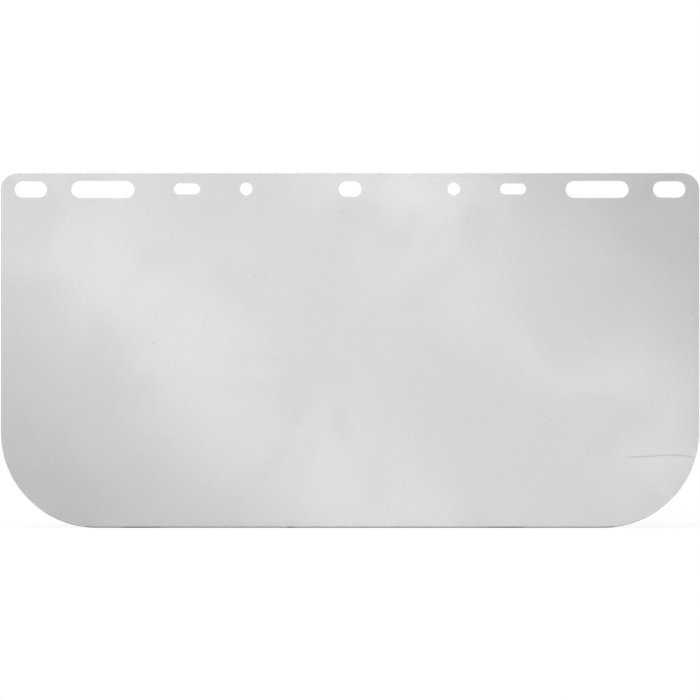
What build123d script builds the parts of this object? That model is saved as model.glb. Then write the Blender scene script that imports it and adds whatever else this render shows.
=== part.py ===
from build123d import *
import os

# Replacement window for a face shield: one flat, unbound sheet of clear plastic, die-cut with
# a row of nine holes along its top edge for the pins and hooks of a head harness.
# Both faces are still covered by the thin masking film that is peeled off before first use.
# The sheet stands upright: +X runs along its length, +Z points up, its front faces -Y.
# The origin is at the middle of the hole row, halfway through the sheet's thickness.
# All sizes are in millimetres.

# Sheet blank
sheet_width = 393.7
sheet_height = 200.0
sheet_thickness = 1.0
top_corner_radius = 9.5
bottom_corner_radius = 54.0

# Masking film, cut in the same stroke as the sheet, so it has the sheet's outline and holes
film_thickness = 0.06

# Height of the two hole lines, measured down from the top edge to the holes' centres
inner_line_drop = 9.0
outer_line_drop = 9.3

# Hole sizes: a slot's length is taken over its rounded ends
centre_slot_length = 12.8
centre_slot_width = 8.6
pin_hole_diameter = 7.0
short_slot_length = 14.6
short_slot_width = 6.0
long_slot_length = 35.4
long_slot_width = 9.4
end_slot_length = 18.2
end_slot_width = 9.0

# Material left beside each hole, from the sheet's end inwards
end_margin = 7.85
end_to_long_web = 13.8
long_to_short_web = 22.4
short_to_pin_web = 22.6

# Centres of the paired holes, laid out from the sheet's end inwards
end_slot_x = sheet_width / 2 - end_margin - end_slot_length / 2
long_slot_x = end_slot_x - end_slot_length / 2 - end_to_long_web - long_slot_length / 2
short_slot_x = long_slot_x - long_slot_length / 2 - long_to_short_web - short_slot_length / 2
pin_hole_x = short_slot_x - short_slot_length / 2 - short_to_pin_web - pin_hole_diameter / 2

# Heights in the part's frame, where the inner hole line is at zero
top_edge_z = inner_line_drop
outer_line_z = top_edge_z - outer_line_drop

# Faces of the sheet, as distances from its middle plane towards the front
front_face = sheet_thickness / 2
back_face = -sheet_thickness / 2

# Outline of the blank: small radii at the top, where the harness covers it, and large ones below
with BuildSketch() as blank:
    with Locations((0, top_edge_z)):
        Rectangle(sheet_width, sheet_height, align=(Align.CENTER, Align.MAX))
    fillet(blank.vertices().group_by(Axis.Y)[-1], radius=top_corner_radius)
    fillet(blank.vertices().group_by(Axis.Y)[0], radius=bottom_corner_radius)

# Punched holes: one centre slot, then four pairs
with BuildSketch() as punchings:
    SlotOverall(centre_slot_length, centre_slot_width)
    with GridLocations(2 * pin_hole_x, 0, 2, 1):
        Circle(pin_hole_diameter / 2)
    with GridLocations(2 * short_slot_x, 0, 2, 1):
        SlotOverall(short_slot_length, short_slot_width)
    with Locations((0, outer_line_z)):
        with GridLocations(2 * long_slot_x, 0, 2, 1):
            SlotOverall(long_slot_length, long_slot_width)
        with GridLocations(2 * end_slot_x, 0, 2, 1):
            SlotOverall(end_slot_length, end_slot_width)

# Window: the clear sheet itself
with BuildPart() as clear_window:
    with BuildSketch(Plane.XZ.offset(back_face)):
        add(blank.sketch_local)
        add(punchings.sketch_local, mode=Mode.SUBTRACT)
    extrude(amount=sheet_thickness)

# Film on the outer face, lying flat on the sheet
with BuildPart() as masking_film_front:
    with BuildSketch(Plane.XZ.offset(front_face)):
        add(blank.sketch_local)
        add(punchings.sketch_local, mode=Mode.SUBTRACT)
    extrude(amount=film_thickness)

# Film on the face towards the wearer
with BuildPart() as masking_film_back:
    with BuildSketch(Plane.XZ.offset(back_face - film_thickness)):
        add(blank.sketch_local)
        add(punchings.sketch_local, mode=Mode.SUBTRACT)
    extrude(amount=film_thickness)

clear_window.part.label = "clear_window"
masking_film_front.part.label = "masking_film_front"
masking_film_back.part.label = "masking_film_back"

os.makedirs("parts", exist_ok=True)
export_step(clear_window.part, "parts/clear_window.step")
export_step(masking_film_front.part, "parts/masking_film_front.step")
export_step(masking_film_back.part, "parts/masking_film_back.step")

print(f"pin holes {2 * pin_hole_x:.2f} apart, short slots {2 * short_slot_x:.2f} apart")
print(f"long slots {2 * long_slot_x:.2f} apart, end slots {2 * end_slot_x:.2f} apart")
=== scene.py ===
"""Looks of a face shield window: one clear die-cut sheet, still covered on both faces by its masking film.

Every size is in metres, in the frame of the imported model: +X runs along the sheet, +Z points up, the
front faces -Y, and the origin is at the middle of the row of holes, halfway through the sheet.
"""

import logging
import math
import random
from collections.abc import Callable, Sequence
from dataclasses import dataclass, replace
from enum import Enum
from functools import cache

import bmesh
import bpy
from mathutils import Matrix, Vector
from mathutils.geometry import delaunay_2d_cdt

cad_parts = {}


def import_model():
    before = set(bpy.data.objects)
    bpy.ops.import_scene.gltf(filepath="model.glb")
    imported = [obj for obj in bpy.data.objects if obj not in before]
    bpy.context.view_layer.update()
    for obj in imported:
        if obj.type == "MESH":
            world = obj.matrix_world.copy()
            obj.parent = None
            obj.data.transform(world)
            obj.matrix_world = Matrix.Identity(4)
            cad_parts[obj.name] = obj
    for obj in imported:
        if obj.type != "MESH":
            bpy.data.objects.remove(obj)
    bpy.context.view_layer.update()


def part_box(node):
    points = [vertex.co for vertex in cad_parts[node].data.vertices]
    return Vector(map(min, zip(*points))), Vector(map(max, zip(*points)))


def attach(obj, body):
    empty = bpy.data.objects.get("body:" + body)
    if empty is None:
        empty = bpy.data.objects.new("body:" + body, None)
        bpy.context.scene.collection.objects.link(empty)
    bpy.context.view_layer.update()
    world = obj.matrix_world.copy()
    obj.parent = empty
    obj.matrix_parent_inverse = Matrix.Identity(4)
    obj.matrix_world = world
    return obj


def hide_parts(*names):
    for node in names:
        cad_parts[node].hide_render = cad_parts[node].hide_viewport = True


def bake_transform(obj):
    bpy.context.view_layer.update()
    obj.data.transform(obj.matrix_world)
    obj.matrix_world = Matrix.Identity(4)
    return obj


LOG = logging.getLogger("face_shield_window")
MM = 0.001
# mesh attribute: how much painted shade darkens a film's tone over its loose corner
LOOSE_SHADE = "loose"
SHARP_ANGLE = math.radians(50)
ROW_SHARE = 0.866
MERGE_DISTANCE = 1e-7

Point = tuple[float, float]
Colour = tuple[float, float, float, float]


def grey(value: float, green: float = 0.0) -> Colour:
    """An opaque grey with that much more green than red and blue."""
    return (value, value * (1 + green), value, 1.0)


def object_from(mesh: bmesh.types.BMesh, name: str) -> bpy.types.Object:
    """Turns a finished mesh into an object in the scene.

    Args:
        mesh: The mesh, which is freed.
        name: Name of the object and its data.

    Returns:
        The new object.
    """
    data = bpy.data.meshes.new(name)
    mesh.to_mesh(data)
    mesh.free()
    made = bpy.data.objects.new(name, data)
    bpy.context.scene.collection.objects.link(made)
    return made


# ---------------------------------------------------------------------------------------------
# Outline of the blank
# ---------------------------------------------------------------------------------------------


@dataclass(frozen=True)
class PunchedHole:
    """One hole through the sheet: round, or a slot with full round ends."""

    x: float
    z: float
    length: float
    width: float
    steps: int = 14
    run: float = 3.0 * MM

    def outline(self, grown: float) -> list[Point]:
        """Lists the hole's edge.

        Args:
            grown: How far outside the hole the line runs.

        Returns:
            Points round the hole, against the clock.
        """
        radius = self.width / 2 + grown
        reach = max(self.length - self.width, 0.0) / 2
        runs = max(1, round(2 * reach / self.run)) if reach else 0
        points: list[Point] = []
        for side in (1, -1):
            for step in range(self.steps + 1):
                angle = (-math.pi / 2 if side > 0 else math.pi / 2) + math.pi * step / self.steps
                across, up = radius * math.cos(angle), radius * math.sin(angle)
                points.append((self.x + side * reach + across, self.z + up))
            for run in range(1, runs):
                points.append((self.x + side * reach * (1 - 2 * run / runs), self.z + side * radius))
        if not runs:
            del points[2 * self.steps + 1], points[self.steps]
        return points

    def distance(self, x: float, z: float) -> float:
        """Distance from a point to the hole's edge, below zero inside the hole."""
        reach = max(self.length - self.width, 0.0) / 2
        return math.hypot(max(abs(x - self.x) - reach, 0.0), z - self.z) - self.width / 2


@dataclass(frozen=True)
class DieCutBlank:
    """Outline of the sheet and the holes punched through it, shared by the sheet and both films."""

    low: Point
    high: Point
    holes: tuple[PunchedHole, ...]
    top_corner: float = 9.5 * MM
    bottom_corner: float = 54.0 * MM
    top_steps: int = 10
    bottom_steps: int = 30
    run: float = 4.0 * MM

    def outer(self, setback: float) -> list[Point]:
        """Lists the outer edge.

        Args:
            setback: How far inside the edge the line runs.

        Returns:
            Points round the blank, against the clock, from the bottom left corner.
        """
        left, bottom = self.low[0] + setback, self.low[1] + setback
        right, top = self.high[0] - setback, self.high[1] - setback
        wide, narrow = self.bottom_corner - setback, self.top_corner - setback
        corners = (
            (right - wide, bottom + wide, wide, -90, self.bottom_steps),
            (right - narrow, top - narrow, narrow, 0, self.top_steps),
            (left + narrow, top - narrow, narrow, 90, self.top_steps),
            (left + wide, bottom + wide, wide, 180, self.bottom_steps),
        )
        points: list[Point] = []
        for number, (x, z, radius, start, steps) in enumerate(corners):
            for step in range(steps + 1):
                angle = math.radians(start + 90 * step / steps)
                points.append((x + radius * math.cos(angle), z + radius * math.sin(angle)))
            nx, nz, next_radius, next_start, _ = corners[(number + 1) % 4]
            angle = math.radians(next_start)
            goal = (nx + next_radius * math.cos(angle), nz + next_radius * math.sin(angle))
            axis = 0 if number % 2 else 1
            side = self.high[axis] - self.low[axis]
            runs = max(2, round(side / self.run))
            here = points[-1]
            across, up = goal[0] - here[0], goal[1] - here[1]
            shares = [run / runs for run in range(1, runs)]
            points += [(here[0] + across * share, here[1] + up * share) for share in shares]
        return points

    def loops(self, setback: float) -> list[list[Point]]:
        """The outer edge and every hole's edge, each drawn back into the material."""
        return [self.outer(setback)] + [hole.outline(setback) for hole in self.holes]

    def margin(self, x: float, z: float) -> float:
        """Distance from a point to the nearest cut edge.

        Args:
            x: Place along the sheet.
            z: Height on the sheet.

        Returns:
            The distance, above zero in the material.
        """
        middle_x, middle_z = (self.low[0] + self.high[0]) / 2, (self.low[1] + self.high[1]) / 2
        radius = self.top_corner if z > middle_z else self.bottom_corner
        out_x = abs(x - middle_x) - (self.high[0] - self.low[0]) / 2 + radius
        out_z = abs(z - middle_z) - (self.high[1] - self.low[1]) / 2 + radius
        inside = radius - math.hypot(max(out_x, 0.0), max(out_z, 0.0)) - min(max(out_x, out_z), 0.0)
        return min([inside] + [hole.distance(x, z) for hole in self.holes])


INNER_LINE, OUTER_LINE = 0.0, -0.3 * MM
CENTRE_SLOT = PunchedHole(0.0, INNER_LINE, 12.8 * MM, 8.6 * MM)
PIN_HOLE = PunchedHole(58.5 * MM, INNER_LINE, 7.0 * MM, 7.0 * MM)
SHORT_SLOT = PunchedHole(91.9 * MM, INNER_LINE, 14.6 * MM, 6.0 * MM)
LONG_SLOT = PunchedHole(139.3 * MM, OUTER_LINE, 35.4 * MM, 9.4 * MM)
END_SLOT = PunchedHole(179.9 * MM, OUTER_LINE, 18.2 * MM, 9.0 * MM)


def punched_blank(low: Vector, high: Vector) -> DieCutBlank:
    """Lays the nine holes out: the centre slot, and four more on each side of it.

    Args:
        low: Lowest corner of the sheet.
        high: Highest corner of the sheet.

    Returns:
        The blank with its holes.
    """
    holes = [CENTRE_SLOT]
    for hole in (PIN_HOLE, SHORT_SLOT, LONG_SLOT, END_SLOT):
        holes += [replace(hole, x=side * hole.x) for side in (-1, 1)]
    return DieCutBlank((low.x, low.z), (high.x, high.z), tuple(holes))


@dataclass
class SheetMesh:
    """Makes one thin closed solid from the blank: two faces and the cut rim that joins them.

    The profile is the rim's section: setbacks from the cut edge and depths through the sheet. Its strips
    that count as face, and its first and last points, belong to the two faces, except along the bottom
    edge, where the face strips take the rim's material with its painted contact shadow.
    """

    name: str
    blank: DieCutBlank
    spacing: float
    profile: Sequence[Point]
    place: Callable[[float, float, float], Vector]
    extra: Sequence[Point] = ()
    face_slots: tuple[int, int] = (0, 0)
    rim_slot: int = 1
    face_strips: tuple[int, ...] = ()
    # outer edges that run this nearly along +X lie along the bottom, where the painted contact shadow is
    contact_shadow_from: float = 0.985
    clear_of_extra: float = 0.6
    clear_of_edge: float = 0.55

    def inner_points(self) -> list[Point]:
        """Lays out points in staggered rows over the faces.

        Returns:
            The extra points, then the rows, which keep clear of them and of the cut edges.
        """
        cell, low, high = self.spacing, self.blank.low, self.blank.high
        taken = {(round(x / cell), round(z / cell)) for x, z in self.extra}
        points: list[Point] = list(self.extra)
        for row in range(int((high[1] - low[1]) / (cell * ROW_SHARE)) + 1):
            z = low[1] + row * cell * ROW_SHARE
            for column in range(int((high[0] - low[0]) / cell) + 2):
                x = low[0] + (column + 0.5 * (row % 2)) * cell
                across, up = round(x / cell), round(z / cell)
                near = any((across + i, up + j) in taken for i in (-1, 0, 1) for j in (-1, 0, 1))
                reach = self.clear_of_extra * cell
                close = near and any(math.hypot(x - ex, z - ez) < reach for ex, ez in self.extra)
                if not close and self.blank.margin(x, z) > self.clear_of_edge * cell:
                    points.append((x, z))
        return points

    def add_rim(self, mesh: bmesh.types.BMesh, members: list[list[int]], front: list[bmesh.types.BMVert],
                back: list[bmesh.types.BMVert]) -> None:
        """Joins the two faces along every cut edge.

        Args:
            mesh: The mesh that holds both faces.
            members: For each edge, where its points stand in the two faces.
            front: Corners of the face at the profile's first depth.
            back: Corners of the face at its last depth.
        """
        rings = [self.blank.loops(setback) for setback, _ in self.profile[1:-1]]
        for number, places in enumerate(members):
            rows = [[front[i] for i in places]]
            for ring, (_, depth) in zip(rings, self.profile[1:-1]):
                rows.append([mesh.verts.new(self.place(x, z, depth)) for x, z in ring[number]])
            rows.append([back[i] for i in places])
            for strip, (one, other) in enumerate(zip(rows, rows[1:])):
                face_slot = self.face_slots[0 if strip < len(rows) / 2 - 1 else 1]
                for i in range(len(one)):
                    j = (i + 1) % len(one)
                    along = one[j].co - one[i].co
                    # faces along the bottom edge take the rim's material, which paints a contact shadow
                    # there
                    painted_contact_shadow = number == 0 and along.x > self.contact_shadow_from * along.length
                    plain = strip in self.face_strips and not painted_contact_shadow
                    quad = mesh.faces.new((one[i], one[j], other[j], other[i]))
                    quad.material_index = face_slot if plain else self.rim_slot

    def build(self) -> bpy.types.Object:
        """Builds the solid.

        Returns:
            The new object, with its faces and its rim in their material slots.
        """
        setback = self.profile[0][0]
        loops = self.blank.loops(setback)
        flat = [Vector(p) for loop in loops for p in loop] + [Vector(p) for p in self.inner_points()]
        edges, starts, first = [], [], 0
        for loop in loops:
            edges += [(first + i, first + (i + 1) % len(loop)) for i in range(len(loop))]
            starts.append(first)
            first += len(loop)
        made, _, triangles, source, _, _ = delaunay_2d_cdt(flat, edges, [], 0, MERGE_DISTANCE, True)
        index_of = {old: new for new, olds in enumerate(source) for old in olds}
        mesh = bmesh.new()
        front = [mesh.verts.new(self.place(p.x, p.y, self.profile[0][1])) for p in made]
        back = [mesh.verts.new(self.place(p.x, p.y, self.profile[-1][1])) for p in made]
        for triangle in triangles:
            x, z = (sum(made[i][axis] for i in triangle) / 3 for axis in (0, 1))
            if self.blank.margin(x, z) > setback:
                mesh.faces.new([front[i] for i in triangle]).material_index = self.face_slots[0]
                mesh.faces.new([back[i] for i in reversed(triangle)]).material_index = self.face_slots[1]
        members = [[index_of[start + i] for i in range(len(loop))] for start, loop in zip(starts, loops)]
        self.add_rim(mesh, members, front, back)
        bmesh.ops.delete(mesh, geom=[v for v in mesh.verts if not v.link_faces], context="VERTS")
        bmesh.ops.recalc_face_normals(mesh, faces=mesh.faces)
        solid = object_from(mesh, self.name)
        solid.data.polygons.foreach_set("use_smooth", [True] * len(solid.data.polygons))
        solid.data.set_sharp_from_angle(angle=SHARP_ANGLE)
        return solid


# ---------------------------------------------------------------------------------------------
# Shader effects that several finishes share
# ---------------------------------------------------------------------------------------------


class NodeTree:
    """A thin wrapper that adds, sets and links shader nodes in one call."""

    def __init__(self, tree: bpy.types.NodeTree) -> None:
        """Starts on an emptied tree."""
        self.tree = tree
        tree.nodes.clear()

    def add(self, kind: str, settings: dict | None = None, **sockets: object) -> bpy.types.Node:
        """Adds a node.

        Args:
            kind: The node's type, without the ShaderNode prefix.
            settings: Properties of the node itself.
            **sockets: Input values or sockets to link, by socket name with _ for a space, or by
                i and the socket's number.

        Returns:
            The new node.
        """
        prefix = "NodeGroup" if kind in ("Input", "Output") else "ShaderNode"
        node = self.tree.nodes.new(prefix + kind)
        for key, value in (settings or {}).items():
            setattr(node, key, value)
        for key, value in sockets.items():
            name = key.replace("_", " ")
            numbered = name[0] == "i" and name[1:].isdigit()
            socket = node.inputs[int(name[1:]) if numbered else name]
            if isinstance(value, bpy.types.NodeSocket):
                self.tree.links.new(value, socket)
            else:
                socket.default_value = value
        return node

    def math(self, operation: str, *values: object) -> bpy.types.NodeSocket:
        """Adds a Math node and gives its result."""
        sockets = {f"i{i}": v for i, v in enumerate(values)}
        return self.add("Math", {"operation": operation}, **sockets).outputs[0]

    def ramp(self, value: bpy.types.NodeSocket, low: object, high: object, to_low: float = 0.0,
             to_high: float = 1.0) -> bpy.types.NodeSocket:
        """Maps a value smoothly from one range to another.

        Args:
            value: The socket to map.
            low: Value that becomes to_low.
            high: Value that becomes to_high.
            to_low: Result at and below low.
            to_high: Result at and above high.

        Returns:
            The mapped value.
        """
        smooth = {"interpolation_type": "SMOOTHSTEP"}
        return self.add("MapRange", smooth, i0=value, i1=low, i2=high, i3=to_low, i4=to_high).outputs[0]

    def sum_of(self, one: object, share: object, other: object,
               other_share: object) -> bpy.types.NodeSocket:
        """Adds two values, each times its share."""
        first, second = self.math("MULTIPLY", one, share), self.math("MULTIPLY", other, other_share)
        return self.math("ADD", first, second)

    def blend(self, share: bpy.types.NodeSocket, one: object, other: object) -> bpy.types.NodeSocket:
        """Mixes two colours by a share."""
        return self.add("Mix", {"data_type": "RGBA"}, i0=share, i6=one, i7=other).outputs[2]

    def seen(self) -> bpy.types.NodeSocket:
        """Tells rays that show a surface from rays that only light others.

        Returns:
            A socket that is 1 for rays from the camera, off a mirror or through glass, and else 0.
        """
        path = self.add("LightPath").outputs
        straight = self.math("MAXIMUM", path["Is Camera Ray"], path["Is Glossy Ray"])
        return self.math("MAXIMUM", straight, path["Is Transmission Ray"])


@dataclass(frozen=True)
class SurfaceEffect:
    """A shader node group with a place and some numbers in, and one value out."""

    name: str
    numbers: tuple[tuple[str, float], ...]
    output: str

    def group(self) -> bpy.types.NodeTree:
        """Gives the group, building it the first time.

        Returns:
            The shared node group.
        """
        found = bpy.data.node_groups.get(self.name)
        if found:
            return found
        made = bpy.data.node_groups.new(self.name, "ShaderNodeTree")
        made.interface.new_socket("Place", in_out="INPUT", socket_type="NodeSocketVector")
        for name, default in self.numbers:
            number = made.interface.new_socket(name, in_out="INPUT", socket_type="NodeSocketFloat")
            number.default_value = default
        made.interface.new_socket(self.output, in_out="OUTPUT", socket_type="NodeSocketFloat")
        tree = NodeTree(made)
        inputs = tree.add("Input").outputs
        result = self.draw(tree, inputs)
        tree.add("Output", i0=result)
        return made

    def draw(self, tree: NodeTree, inputs: bpy.types.NodeOutputs) -> bpy.types.NodeSocket:
        """Draws the effect's nodes and gives the value that leaves the group."""
        raise NotImplementedError

    def put(self, tree: NodeTree, place: bpy.types.NodeSocket, **numbers: float) -> bpy.types.NodeSocket:
        """Places the group in a material with its own numbers.

        Args:
            tree: The material's tree.
            place: Position on the object.
            **numbers: Values for the group's inputs.

        Returns:
            The group's output socket.
        """
        node = tree.tree.nodes.new("ShaderNodeGroup")
        node.node_tree = self.group()
        tree.tree.links.new(place, node.inputs["Place"])
        for name, value in numbers.items():
            node.inputs[name.replace("_", " ")].default_value = value
        return node.outputs[self.output]


class RolledGrain(SurfaceEffect):
    """The fine even pebble that rolls leave on film and sheet."""

    FINER = 3.1
    COARSE_SHARE, FINE_SHARE = 0.65, 0.35
    MIDDLE = 0.5

    def draw(self, tree: NodeTree, inputs: bpy.types.NodeOutputs) -> bpy.types.NodeSocket:
        """Adds two noises, one finer than the other.

        Args:
            tree: The group's tree.
            inputs: The group's inputs.

        Returns:
            Their sum from 0 to 1, cut more sharply the smaller the spread is.
        """
        grains, spread = inputs["Grains per metre"], inputs["Spread"]
        coarse = tree.add("TexNoise", Vector=inputs["Place"], Scale=grains, Detail=2.0)
        finer = tree.math("MULTIPLY", grains, self.FINER)
        fine = tree.add("TexNoise", Vector=inputs["Place"], Scale=finer, Detail=1.0)
        both = tree.sum_of(coarse.outputs[0], self.COARSE_SHARE, fine.outputs[0], self.FINE_SHARE)
        low = tree.math("SUBTRACT", self.MIDDLE, spread)
        return tree.ramp(both, low, tree.math("ADD", self.MIDDLE, spread))


class ClingMottle(SurfaceEffect):
    """Broad soft patches where the film clings more and less closely."""

    CUT = (0.3, 0.7)

    def draw(self, tree: NodeTree, inputs: bpy.types.NodeOutputs) -> bpy.types.NodeSocket:
        """Makes one warped noise.

        Args:
            tree: The group's tree.
            inputs: The group's inputs.

        Returns:
            The noise, mapped to run from 0 to 1.
        """
        noise = tree.add("TexNoise", Vector=inputs["Place"], Scale=inputs["Patches per metre"],
                         Detail=4.0, Roughness=0.55, Distortion=0.6)
        return tree.ramp(noise.outputs[0], *self.CUT)


class DrawLines(SurfaceEffect):
    """Faint straight lines in the direction the film and sheet were drawn from the die."""

    STRETCH = (0.012, 1.0, 1.0)
    CUT = (0.32, 0.68)

    def draw(self, tree: NodeTree, inputs: bpy.types.NodeOutputs) -> bpy.types.NodeSocket:
        """Stretches one noise along the sheet.

        Args:
            tree: The group's tree.
            inputs: The group's inputs.

        Returns:
            The noise, mapped to run from 0 to 1.
        """
        long = tree.add("VectorMath", {"operation": "MULTIPLY"}, i0=inputs["Place"], i1=self.STRETCH)
        noise = tree.add("TexNoise", Vector=long.outputs[0], Scale=inputs["Lines per metre"], Detail=3.0)
        return tree.ramp(noise.outputs[0], *self.CUT)


class HairScratches(SurfaceEffect):
    """Sparse hairline rubs, all at one slant, from sliding on other sheets."""

    STRETCH = (18.0, 1.0, 1400.0)
    CREST = (0.70, 0.78)
    CLUSTERS_PER_METRE = 34.0
    CLUSTER_CUT = (0.50, 0.62)

    def draw(self, tree: NodeTree, inputs: bpy.types.NodeOutputs) -> bpy.types.NodeSocket:
        """Cuts a stretched noise to its crests, and breaks it up by a broad noise.

        Args:
            tree: The group's tree.
            inputs: The group's inputs.

        Returns:
            The rubs, 1 on a line and 0 between them.
        """
        about_y = {"rotation_type": "Y_AXIS"}
        turned = tree.add("VectorRotate", about_y, Vector=inputs["Place"], Angle=inputs["Slant"])
        long = tree.add("VectorMath", {"operation": "MULTIPLY"}, i0=turned.outputs[0], i1=self.STRETCH)
        lines = tree.add("TexNoise", Vector=long.outputs[0], Scale=1.0, Detail=1.0)
        broad = tree.add("TexNoise", Vector=inputs["Place"], Scale=self.CLUSTERS_PER_METRE, Detail=2.0)
        crest = tree.ramp(lines.outputs[0], *self.CREST)
        return tree.math("MULTIPLY", crest, tree.ramp(broad.outputs[0], *self.CLUSTER_CUT))


GRAIN = RolledGrain("rolled_grain", (("Grains per metre", 900.0), ("Spread", 0.2)), "Height")
MOTTLE = ClingMottle("cling_mottle", (("Patches per metre", 14.0),), "Patch")
DRAWN = DrawLines("draw_lines", (("Lines per metre", 400.0),), "Height")
SCRATCHES = HairScratches("hair_scratches", (("Slant", 0.3),), "Mark")


# ---------------------------------------------------------------------------------------------
# Finishes
# ---------------------------------------------------------------------------------------------


@dataclass(frozen=True)
class Finish:
    """A named material that is built once and shared."""

    name: str

    def draw(self, tree: NodeTree) -> bpy.types.NodeSocket:
        """Draws the material's nodes and gives the shader that its surface takes."""
        raise NotImplementedError

    @cache
    def material(self) -> bpy.types.Material:
        """Builds the material the first time, and gives the same one from then on.

        Returns:
            The shared material.
        """
        made = bpy.data.materials.new(self.name)
        made.use_nodes = True
        tree = NodeTree(made.node_tree)
        tree.add("OutputMaterial", Surface=self.draw(tree))
        return made


@dataclass(frozen=True)
class SheetFinish(Finish):
    """A see-through plastic surface with speckle, grain, patches, drawn lines and hairline rubs, and
    painted shade that darkens its tone over a film's loose corner.
    """

    dark: Colour
    light: Colour
    cover: float
    gloss_low: float
    gloss_high: float
    index: float
    grains: float
    grain_depth: float
    line_depth: float
    slant: float
    shine: float = 0.9
    # share of the tone kept under the full painted shade of a loose corner
    loose_corner_shade: float = 1.0
    speckles: float = 1500.0
    speckle_spread: float = 0.06
    patches: float = 14.0
    lines: float = 420.0
    speckle_share: float = 0.85
    patch_share: float = 0.15
    rub_tone: float = 0.1
    rub_roughness: float = 0.15

    def draw(self, tree: NodeTree) -> bpy.types.NodeSocket:
        """Mixes the tone, roughness and height of the surface from the shared effects.

        Args:
            tree: The material's tree.

        Returns:
            The surface's shader.
        """
        place = tree.add("TexCoord").outputs["Object"]
        grain = GRAIN.put(tree, place, Grains_per_metre=self.grains)
        speckle = GRAIN.put(tree, place, Grains_per_metre=self.speckles, Spread=self.speckle_spread)
        patch = MOTTLE.put(tree, place, Patches_per_metre=self.patches)
        lines = DRAWN.put(tree, place, Lines_per_metre=self.lines)
        rubs = SCRATCHES.put(tree, place, Slant=self.slant)
        tone = tree.sum_of(speckle, self.speckle_share, patch, self.patch_share)
        tone = tree.math("ADD", tone, tree.math("MULTIPLY", rubs, self.rub_tone))
        # painted shade: the tone darkens over a film's loose corner
        loose = tree.add("Attribute", {"attribute_name": LOOSE_SHADE}).outputs["Fac"]
        tone = tree.math("MULTIPLY", tone, tree.ramp(loose, 0.0, 1.0, 1.0, self.loose_corner_shade))
        rough = tree.ramp(patch, 0.0, 1.0, self.gloss_low, self.gloss_high)
        rough = tree.math("ADD", rough, tree.math("MULTIPLY", rubs, self.rub_roughness))
        height = tree.sum_of(grain, self.grain_depth, lines, self.line_depth)
        bump = tree.add("Bump", Strength=1.0, Distance=1.0, Height=height)
        colour = tree.blend(tone, self.dark, self.light)
        return tree.add("BsdfPrincipled", Base_Color=colour, Roughness=rough, Alpha=self.cover,
                        IOR=self.index, Specular_IOR_Level=self.shine, Normal=bump.outputs[0]).outputs[0]


@dataclass(frozen=True)
class CutEdgeFinish(Finish):
    """The die-cut rim: light and hazy, with painted shade on its low rims that face down, and a dark
    painted contact shadow along the foot where the sheet stands.

    Each range names two values and what happens between them: underside is the rim's facing, -1 being
    straight down, and underside_shade_heights and contact_shadow_heights are heights in the model.
    """

    name: str = "cut_edge"
    dark: Colour = grey(0.82)
    light: Colour = grey(0.95)
    # painted shade on low rims that face down
    painted_underside_shade: Colour = grey(0.02)
    # painted contact shadow along the foot of the sheet
    painted_contact_shadow: Colour = grey(0.20)
    cover: float = 0.94
    index: float = 1.58
    roughness: float = 0.5
    shine: float = 0.08
    grains: float = 2600.0
    grain_depth: float = 0.00002
    grain_roughness: float = 0.2
    patches: float = 60.0
    underside: Point = (-0.93, -0.74)
    # heights over which the painted shade on downward-facing rims fades in
    underside_shade_heights: Point = (-0.17, -0.13)
    # heights of the painted contact shadow along the foot
    contact_shadow_heights: Point = (-0.1905, -0.1896)

    def draw(self, tree: NodeTree) -> bpy.types.NodeSocket:
        """Paints shade on the rim by its height and by how far it faces down, and a contact shadow along
        its foot.

        Args:
            tree: The material's tree.

        Returns:
            The rim's shader.
        """
        place = tree.add("TexCoord").outputs["Object"]
        marks = GRAIN.put(tree, place, Grains_per_metre=self.grains)
        patch = MOTTLE.put(tree, place, Patches_per_metre=self.patches)
        rough = tree.math("ADD", tree.math("MULTIPLY", marks, self.grain_roughness), self.roughness)
        raised = tree.math("MULTIPLY", marks, self.grain_depth)
        bump = tree.add("Bump", Strength=1.0, Distance=1.0, Height=raised)
        normal = tree.add("NewGeometry").outputs["Normal"]
        upright = tree.add("VectorMath", {"operation": "MULTIPLY"}, i0=normal, i1=(1.0, 0.0, 1.0))
        facing = tree.add("VectorMath", {"operation": "NORMALIZE"}, i0=upright.outputs[0]).outputs[0]
        # Painted shade: how far the rim faces down, and how low it sits
        below = tree.ramp(tree.add("SeparateXYZ", Vector=facing).outputs["Z"], *self.underside, 1.0, 0.0)
        height = tree.add("SeparateXYZ", Vector=place).outputs["Z"]
        low = tree.ramp(height, *self.underside_shade_heights, 1.0, 0.0)
        # painted contact shadow: 1 along the foot, 0 above it
        contact_shadow_mask = tree.ramp(height, *self.contact_shadow_heights, 1.0, 0.0)
        unshaded_rim = tree.blend(patch, self.dark, self.light)
        # the painted contact shadow along the foot
        colour = tree.blend(contact_shadow_mask, unshaded_rim, self.painted_contact_shadow)
        # painted shade on low rims that face down
        colour = tree.blend(tree.math("MULTIPLY", below, low), colour, self.painted_underside_shade)
        return tree.add("BsdfPrincipled", Base_Color=colour, Roughness=rough, Alpha=self.cover,
                        IOR=self.index, Specular_IOR_Level=self.shine, Normal=bump.outputs[0]).outputs[0]


@dataclass(frozen=True)
class DustFinish(Finish):
    """Dull dark lint and grit."""

    name: str = "dust"
    dark: Colour = (0.035, 0.03, 0.026, 1.0)
    light: Colour = (0.14, 0.12, 0.10, 1.0)
    grains: float = 4000.0
    roughness: Point = (0.7, 0.95)

    def draw(self, tree: NodeTree) -> bpy.types.NodeSocket:
        """Mottles the colour and the roughness alike.

        Args:
            tree: The material's tree.

        Returns:
            The dust's shader.
        """
        place = tree.add("TexCoord").outputs["Object"]
        marks = GRAIN.put(tree, place, Grains_per_metre=self.grains)
        rough = tree.ramp(marks, 0.0, 1.0, *self.roughness)
        colour = tree.blend(marks, self.dark, self.light)
        return tree.add("BsdfPrincipled", Base_Color=colour, Roughness=rough).outputs[0]


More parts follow.
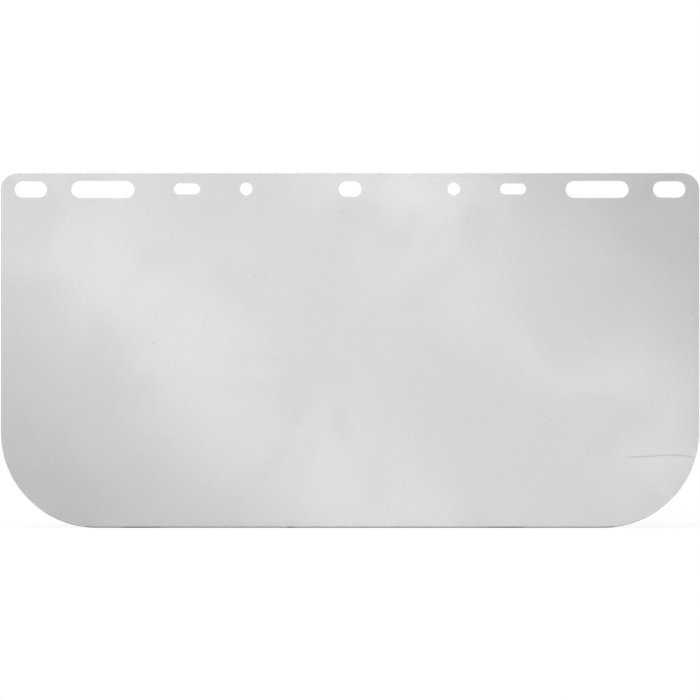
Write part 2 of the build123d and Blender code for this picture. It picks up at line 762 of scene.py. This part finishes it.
@dataclass(frozen=True)
class TableFinish(Finish):
    """A matt white table top that fades into the white surround towards its rim.

    The fade runs over the distances from the middle in fade. White light has the lower share of
    shares before it, and the upper one after it.
    """

    name: str = "table_top"
    colour: Colour = grey(0.93)
    roughness: float = 0.9
    fade: Point = (0.30, 0.56)
    shares: Point = (0.80, 1.0)

    def draw(self, tree: NodeTree) -> bpy.types.NodeSocket:
        """Mixes the lit table top with plain white.

        Args:
            tree: The material's tree.

        Returns:
            The table top's shader.
        """
        place = tree.add("TexCoord").outputs["Object"]
        away = tree.add("VectorMath", {"operation": "LENGTH"}, i0=place).outputs["Value"]
        fade = tree.ramp(away, *self.fade, *self.shares)
        lit = tree.add("BsdfPrincipled", Base_Color=self.colour, Roughness=self.roughness,
                       Specular_IOR_Level=0.0)
        white = tree.add("Emission", Color=grey(1.0), Strength=1.0)
        share = tree.math("MULTIPLY", fade, tree.seen())
        return tree.add("MixShader", i0=share, i1=lit.outputs[0], i2=white.outputs[0]).outputs[0]


CLEAR_SHEET = SheetFinish(
    name="clear_sheet", dark=grey(0.10, 0.05), light=grey(0.25, 0.05), cover=0.05, gloss_low=0.11,
    gloss_high=0.15, index=1.58, grains=700.0, grain_depth=0.0000012, line_depth=0.0000008, slant=0.42)
FILM_OUTSIDE = SheetFinish(
    name="film_outside", dark=grey(0.406, 0.032), light=grey(0.449, 0.032), cover=0.55, gloss_low=0.13,
    gloss_high=0.18, index=1.51, grains=1100.0, grain_depth=0.0000020, line_depth=0.0000010, slant=-0.27,
    # painted shade over the loose front corner
    loose_corner_shade=0.35)
FILM_UNDERSIDE = replace(FILM_OUTSIDE, name="film_underside", dark=grey(0.4), light=grey(0.5), cover=0.02)
CUT_EDGE = CutEdgeFinish()
DUST = DustFinish()
TABLE_TOP = TableFinish()


# ---------------------------------------------------------------------------------------------
# Pieces
# ---------------------------------------------------------------------------------------------


@dataclass
class ClearWindow:
    """The sheet itself, with the slightly rounded rim that a cutting die leaves."""

    blank: DieCutBlank
    thickness: float = 1.0 * MM
    edge_round: float = 0.30 * MM
    support: float = 0.10 * MM
    # width of the face band along the bottom edge that takes the painted contact shadow
    contact_shadow_band: float = 0.56 * MM
    spacing: float = 9.0 * MM

    def build(self) -> bpy.types.Object:
        """Builds the sheet as one closed solid.

        Returns:
            The sheet.
        """
        half, soft = self.thickness / 2, self.edge_round
        eased = 1 - math.sqrt(0.5)
        flat = soft + self.support
        front = (
            (self.contact_shadow_band, -half), (flat, -half), (soft, -half),
            (soft * eased, -half + soft * eased), (0.0, -half + soft))
        profile = front + tuple((setback, -depth) for setback, depth in reversed(front))
        strips = (0, len(profile) - 2)
        return SheetMesh("window_sheet", self.blank, self.spacing, profile,
                         lambda x, z, y: Vector((x, y, z)), face_strips=strips).build()

    def dress(self, sheet: bpy.types.Object) -> None:
        """Gives the faces and the rim their materials, and puts the sheet on its body.

        Args:
            sheet: The sheet.
        """
        sheet.data.materials.append(CLEAR_SHEET.material())
        sheet.data.materials.append(CUT_EDGE.material())
        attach(sheet, "window")
        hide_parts("clear_window")


class FilmSide(Enum):
    """Which face of the sheet a film covers, as the sign of its y."""

    FRONT = -1
    BACK = 1


@dataclass(frozen=True)
class Crease:
    """A sharp little ridge in a film, along a line of points."""

    line: tuple[Point, ...]
    height: float = 0.040 * MM
    width: float = 0.18 * MM
    step: float = 0.8 * MM
    rise_share: float = 0.30
    fall_share: float = 0.08
    rail_offsets: tuple[float, ...] = (-4.2, -2.3, -1.1, 0.0, 1.1, 2.3, 4.2)

    def stations(self) -> list[Point]:
        """Divides the line into even steps.

        Returns:
            The line's own points and those between them.
        """
        made: list[Point] = []
        for one, other in zip(self.line, self.line[1:]):
            count = max(1, round(math.dist(one, other) / self.step))
            across, up = other[0] - one[0], other[1] - one[1]
            made += [(one[0] + across * i / count, one[1] + up * i / count) for i in range(count)]
        return made + [self.line[-1]]

    def rails(self) -> list[Point]:
        """Lays out mesh points on the ridge and on both of its flanks.

        Returns:
            The points, in rows across the line.
        """
        stations = self.stations()
        points: list[Point] = []
        for number, (x, z) in enumerate(stations):
            before, after = stations[max(number - 1, 0)], stations[min(number + 1, len(stations) - 1)]
            along = Vector((after[0] - before[0], after[1] - before[1])).normalized()
            for off in self.rail_offsets:
                points.append((x - along.y * off * self.width, z + along.x * off * self.width))
        return points

    def rise(self, x: float, z: float) -> float:
        """Height of the ridge over a point.

        Args:
            x: Place along the sheet.
            z: Height on the sheet.

        Returns:
            The height, which tapers to nothing at the line's ends.
        """
        best, where, run = 1.0, 0.0, 0.0
        here = Vector((x, z))
        total = sum(math.dist(one, other) for one, other in zip(self.line, self.line[1:]))
        for one, other in zip(self.line, self.line[1:]):
            a, b = Vector(one), Vector(other)
            share = min(1.0, max(0.0, (here - a).dot(b - a) / (b - a).length_squared))
            gap = (here - a - (b - a) * share).length
            if gap < best:
                best, where = gap, (run + share * (b - a).length) / total
            run += (b - a).length
        rising = min(1.0, max(0.0, where) / self.rise_share)
        falling = min(1.0, max(0.0, 1 - where) / self.fall_share)
        return self.height * (rising * falling) * math.exp(-((best / self.width) ** 2))


@dataclass(frozen=True)
class LooseCorner:
    """A patch at a corner where the film has let go, bounded by a soft arc, with a curl at its tip."""

    middle: Point
    reach: float
    border: float
    lift: float
    curl: float
    tip: Point
    tip_reach: float
    # how far the film's tone is darkened over the patch, as painted shade
    painted_shade: float = 0.0

    def share(self, x: float, z: float) -> float:
        """How far a point lies inside the patch, from 0 outside it to 1 past its border."""
        inside = min(1.0, max(0.0, (self.reach - math.dist((x, z), self.middle)) / self.border))
        return inside * inside * (3 - 2 * inside)

    def rise(self, x: float, z: float) -> float:
        """Height of the film over a point of the sheet."""
        near = min(1.0, max(0.0, 1 - math.dist((x, z), self.tip) / self.tip_reach))
        return self.lift * self.share(x, z) + self.curl * near * near


@dataclass
class MaskingFilm:
    """One masking film, lying on the sheet but for its creases, a loose corner and faint ripples."""

    side: FilmSide
    blank: DieCutBlank
    sheet_thickness: float
    creases: tuple[Crease, ...]
    loose: tuple[LooseCorner, ...]
    held_at: Point
    peels_from: Point
    thickness: float = 0.06 * MM
    cling_gap: float = 0.03 * MM
    ripple: float = 0.007 * MM
    ripple_lengths: tuple[float, ...] = (0.150, 0.095, 0.062, 0.041)
    ripple_angles: Point = (-1.2, 0.2)
    # width of the face band along the bottom edge that takes the painted contact shadow
    contact_shadow_band: float = 0.60 * MM
    crease_clearance: float = 1.2 * MM
    spacing: float = 4.0 * MM
    seed: int = 7

    def ripples(self) -> list[tuple[float, float, float]]:
        """Draws the faint waves that stay in film from the roll.

        Returns:
            Each wave's turns per metre along and up the sheet, and its phase.
        """
        draw = random.Random(self.seed)
        waves = []
        for length in self.ripple_lengths:
            angle, phase = draw.uniform(*self.ripple_angles), draw.uniform(0, math.tau)
            waves.append((math.tau / length * math.cos(angle), math.tau / length * math.sin(angle), phase))
        return waves

    def rise(self, x: float, z: float, waves: Sequence[tuple[float, float, float]]) -> float:
        """How far the film stands off the sheet at a point.

        Args:
            x: Place along the sheet.
            z: Height on the sheet.
            waves: The ripples' directions and phases.

        Returns:
            The gap under the film.
        """
        wave = sum(1 + math.sin(x * wx + z * wz + phase) for wx, wz, phase in waves) / len(waves) / 2
        local = max(corner.rise(x, z) for corner in self.loose)
        creased = sum(crease.rise(x, z) for crease in self.creases)
        return self.cling_gap + self.ripple * wave + local + creased

    def build(self) -> bpy.types.Object:
        """Builds the film as one closed thin solid.

        Returns:
            The film.
        """
        waves, sign, face = self.ripples(), self.side.value, self.sheet_thickness / 2
        rails = [point for crease in self.creases for point in crease.rails()]
        extra = [point for point in rails if self.blank.margin(*point) > self.crease_clearance]

        def place(x: float, z: float, through: float) -> Vector:
            """Sets a point at its height over the sheet's face."""
            return Vector((x, sign * (face + self.rise(x, z, waves) + through), z))

        band = self.contact_shadow_band
        profile = ((band, 0.0), (0.0, 0.0), (0.0, self.thickness), (band, self.thickness))
        name = f"masking_film_{self.side.name.lower()}_piece"
        film = SheetMesh(name, self.blank, self.spacing, profile, place, extra, face_slots=(0, 1),
                         rim_slot=2, face_strips=(0, 2)).build()
        # each point's share of painted shade from the loose corners
        points = [(vertex.co.x, vertex.co.z) for vertex in film.data.vertices]
        shares = [max(corner.painted_shade * corner.share(*point) for corner in self.loose) for point in points]
        film.data.attributes.new(LOOSE_SHADE, "FLOAT", "POINT").data.foreach_set("value", shares)
        return film

    def dress(self, film: bpy.types.Object) -> None:
        """Gives the film its materials, bakes its place into its mesh and hides the model's film.

        Args:
            film: The film.
        """
        for finish in (FILM_UNDERSIDE, FILM_OUTSIDE, CUT_EDGE):
            film.data.materials.append(finish.material())
        self.follow(film)
        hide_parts(f"masking_film_{self.side.name.lower()}")

    def follow(self, piece: bpy.types.Object) -> None:
        """Bakes a piece's place into its mesh, where it lies on the sheet.

        Args:
            piece: The film, or what lies on it.
        """
        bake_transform(piece)


@dataclass
class FilmDust:
    """Specks of grit that lie on the front film: place along, height and radius."""

    film: MaskingFilm
    places: tuple[tuple[float, float, float], ...] = (
        (-0.0048, -0.0131, 0.34 * MM), (-0.0530, -0.0492, 0.39 * MM), (-0.1105, -0.0869, 0.37 * MM),
        (0.1353, -0.0838, 0.31 * MM), (0.1093, -0.0940, 0.27 * MM), (0.1339, -0.1490, 0.24 * MM),
        (0.1076, -0.1543, 0.24 * MM))
    depth: float = 0.02 * MM
    corners: int = 11
    top_share: float = 0.8
    raggedness: float = 0.14
    squeeze: Point = (0.75, 1.0)
    seed: int = 11

    def rings(self, radius: float, turn: float, squeeze: float) -> list[list[tuple[float, float, float]]]:
        """Lists a flake's two ragged outlines, one on the film and a smaller one above it.

        Args:
            radius: The flake's radius.
            turn: How far it is turned.
            squeeze: Its width as a share of its length.

        Returns:
            Offsets from the flake's middle.
        """
        made = []
        for y, size in ((0.0, 1.0), (-self.depth, self.top_share)):
            ring = []
            for corner in range(self.corners):
                angle = math.tau * corner / self.corners
                wave = math.sin(3 * angle + turn * 5)
                reach = radius * size * (1 - self.raggedness + self.raggedness * wave)
                u, v = reach * math.cos(angle), reach * math.sin(angle) * squeeze
                ring.append((u * math.cos(turn) - v * math.sin(turn), y,
                             u * math.sin(turn) + v * math.cos(turn)))
            made.append(ring)
        return made

    def build(self) -> bpy.types.Object:
        """Builds every speck as a small ragged flake in one mesh.

        Returns:
            The specks.
        """
        draw = random.Random(self.seed)
        waves = self.film.ripples()
        mesh = bmesh.new()
        for x, z, radius in self.places:
            top = self.film.sheet_thickness / 2 + self.film.rise(x, z, waves) + self.film.thickness
            turn, squeeze = draw.uniform(0, math.pi), draw.uniform(*self.squeeze)
            rings = [[mesh.verts.new((x + across, y - top, z + up)) for across, y, up in ring]
                     for ring in self.rings(radius, turn, squeeze)]
            for i in range(self.corners):
                j = (i + 1) % self.corners
                mesh.faces.new((rings[0][i], rings[0][j], rings[1][j], rings[1][i]))
            mesh.faces.new(rings[0])
            mesh.faces.new(rings[1])
        bmesh.ops.recalc_face_normals(mesh, faces=mesh.faces)
        return object_from(mesh, "film_dust")

    def dress(self, specks: bpy.types.Object) -> None:
        """Gives the specks their material, and bakes their place into their mesh."""
        specks.data.materials.append(DUST.material())
        self.film.follow(specks)


# ---------------------------------------------------------------------------------------------
# Studio
# ---------------------------------------------------------------------------------------------


@dataclass(frozen=True)
class SoftLamp:
    """A softbox that the camera doesn't see: its place, its size and how bright its face is."""

    name: str
    place: tuple[float, float, float]
    width: float
    length: float
    brightness: float
    turn: tuple[float, float, float]

    def add(self) -> bpy.types.Object:
        """Adds the lamp to the scene.

        Returns:
            The lamp, which the camera doesn't see.
        """
        data = bpy.data.lights.new(self.name, "AREA")
        data.shape = "RECTANGLE"
        data.size, data.size_y = self.width, self.length
        data.energy = self.brightness * math.pi * self.width * self.length
        lamp = bpy.data.objects.new(self.name, data)
        lamp.location = self.place
        lamp.rotation_euler = [math.radians(a) for a in self.turn]
        lamp.visible_camera = False
        bpy.context.scene.collection.objects.link(lamp)
        return lamp


@dataclass
class Studio:
    """A pale table top, a white surround and soft lamps."""

    table_height: float
    table_radius: float = 0.70
    fill: float = 0.55
    see_through_faces: int = 8
    lamps: tuple[SoftLamp, ...] = (
        SoftLamp("overhead_softbox", (-0.40, -0.50, 1.60), 1.60, 1.60, 3.4, (16.0, -13.0, 0.0)),
        SoftLamp("right_strip", (0.36, -4.0, -0.17), 0.13, 2.09, 11.6, (90.0, -43.5, 0.0)),
        SoftLamp("middle_strip", (0.0, -4.0, -0.27), 0.23, 1.88, 8.85, (90.0, -46.8, 0.0)),
        SoftLamp("upper_strip", (0.035, -4.0, 0.06), 0.08, 0.36, 11.1, (90.0, -78.0, 0.0)),
        SoftLamp("left_strip", (-0.42, -4.0, 0.195), 0.08, 0.59, 7.0, (90.0, -39.0, 0.0)),
    )

    def surround(self) -> None:
        """Makes the world white where it is seen or mirrored, and a soft grey light elsewhere."""
        world = bpy.data.worlds.new("surround")
        world.use_nodes = True
        bpy.context.scene.world = world
        tree = NodeTree(world.node_tree)
        colour = tree.blend(tree.seen(), grey(self.fill), grey(1.0))
        tree.add("OutputWorld", Surface=tree.add("Background", Color=colour, Strength=1.0).outputs[0])

    def table(self) -> None:
        """Adds the round table top that the sheet stands on."""
        mesh = bmesh.new()
        bmesh.ops.create_circle(mesh, cap_ends=True, segments=96, radius=self.table_radius)
        top = object_from(mesh, "table_top")
        top.data.materials.append(TABLE_TOP.material())
        top.location.z = self.table_height
        top.visible_shadow = False
        top.visible_glossy = False

    def build(self) -> None:
        """Builds the surround, the table top and the lamps."""
        self.surround()
        self.table()
        for lamp in self.lamps:
            lamp.add()
            LOG.info("lamp %s", lamp.name)
        bpy.context.scene.view_settings.view_transform = "Standard"
        bpy.context.scene.cycles.min_transparent_bounces = self.see_through_faces


@dataclass
class FrontCamera:
    """A camera square to the sheet's front, with the sheet filling its frame from side to side."""

    lens: float = 300.0
    sensor: float = 36.0
    side_gap: float = 0.42 * MM
    raised: float = 0.19 * MM

    def add(self, low: Vector, high: Vector) -> bpy.types.Object:
        """Adds the camera.

        Args:
            low: Lowest corner of the sheet.
            high: Highest corner of the sheet.

        Returns:
            The camera.
        """
        data = bpy.data.cameras.new("front_camera")
        data.lens, data.sensor_width = self.lens, self.sensor
        camera = bpy.data.objects.new("front_camera", data)
        away = (high.x - low.x + 2 * self.side_gap) * self.lens / self.sensor
        camera.location = ((low.x + high.x) / 2, low.y - away, (low.z + high.z) / 2 + self.raised)
        camera.rotation_euler = (math.radians(90), 0, 0)
        bpy.context.scene.collection.objects.link(camera)
        bpy.context.scene.camera = camera
        return camera


RIGHT_CREASE = Crease((
    (0.1446, -0.1519), (0.1530, -0.1515), (0.1585, -0.1513), (0.1637, -0.1511), (0.1694, -0.1507),
    (0.1750, -0.1505), (0.1790, -0.1503), (0.1829, -0.1502), (0.1868, -0.1504), (0.1897, -0.1508),
    (0.1925, -0.1514), (0.1950, -0.1519)))
LEFT_CREASE = Crease(((-0.1870, -0.1558), (-0.1700, -0.1561), (-0.1539, -0.1560)), height=0.024 * MM)
RIGHT_CORNER = LooseCorner(
    middle=(0.235, -0.200), reach=80.0 * MM, border=16.0 * MM, lift=0.08 * MM, curl=0.25 * MM,
    tip=(0.1810, -0.1752), tip_reach=24.0 * MM, painted_shade=1.0)
LEFT_CORNER = LooseCorner(
    middle=(-0.160, -0.200), reach=26.0 * MM, border=9.0 * MM, lift=0.08 * MM, curl=0.40 * MM,
    tip=(-0.1810, -0.1752), tip_reach=22.0 * MM)


def main() -> None:
    """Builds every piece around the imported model, and the studio."""
    logging.basicConfig(level=logging.INFO, format="%(message)s")
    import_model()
    low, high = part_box("clear_window")
    blank = punched_blank(low, high)

    window = ClearWindow(blank, thickness=high.y - low.y)
    sheet = window.build()
    window.dress(sheet)
    LOG.info("sheet: %d faces", len(sheet.data.polygons))

    films = (
        MaskingFilm(FilmSide.FRONT, blank, window.thickness, (RIGHT_CREASE,), (RIGHT_CORNER,),
                    held_at=(-0.080, -0.010), peels_from=(0.190, -0.185)),
        MaskingFilm(FilmSide.BACK, blank, window.thickness, (LEFT_CREASE,), (LEFT_CORNER,),
                    held_at=(0.080, -0.010), peels_from=(-0.190, -0.185), seed=19),
    )
    for film in films:
        piece = film.build()
        film.dress(piece)
        LOG.info("film on the %s: %d faces", film.side.name.lower(), len(piece.data.polygons))

    dust = FilmDust(films[0])
    dust.dress(dust.build())
    LOG.info("dust on the front film: %d specks", len(dust.places))

    FrontCamera().add(low, high)
    Studio(table_height=low.z).build()


if __name__ == "__main__":
    main()
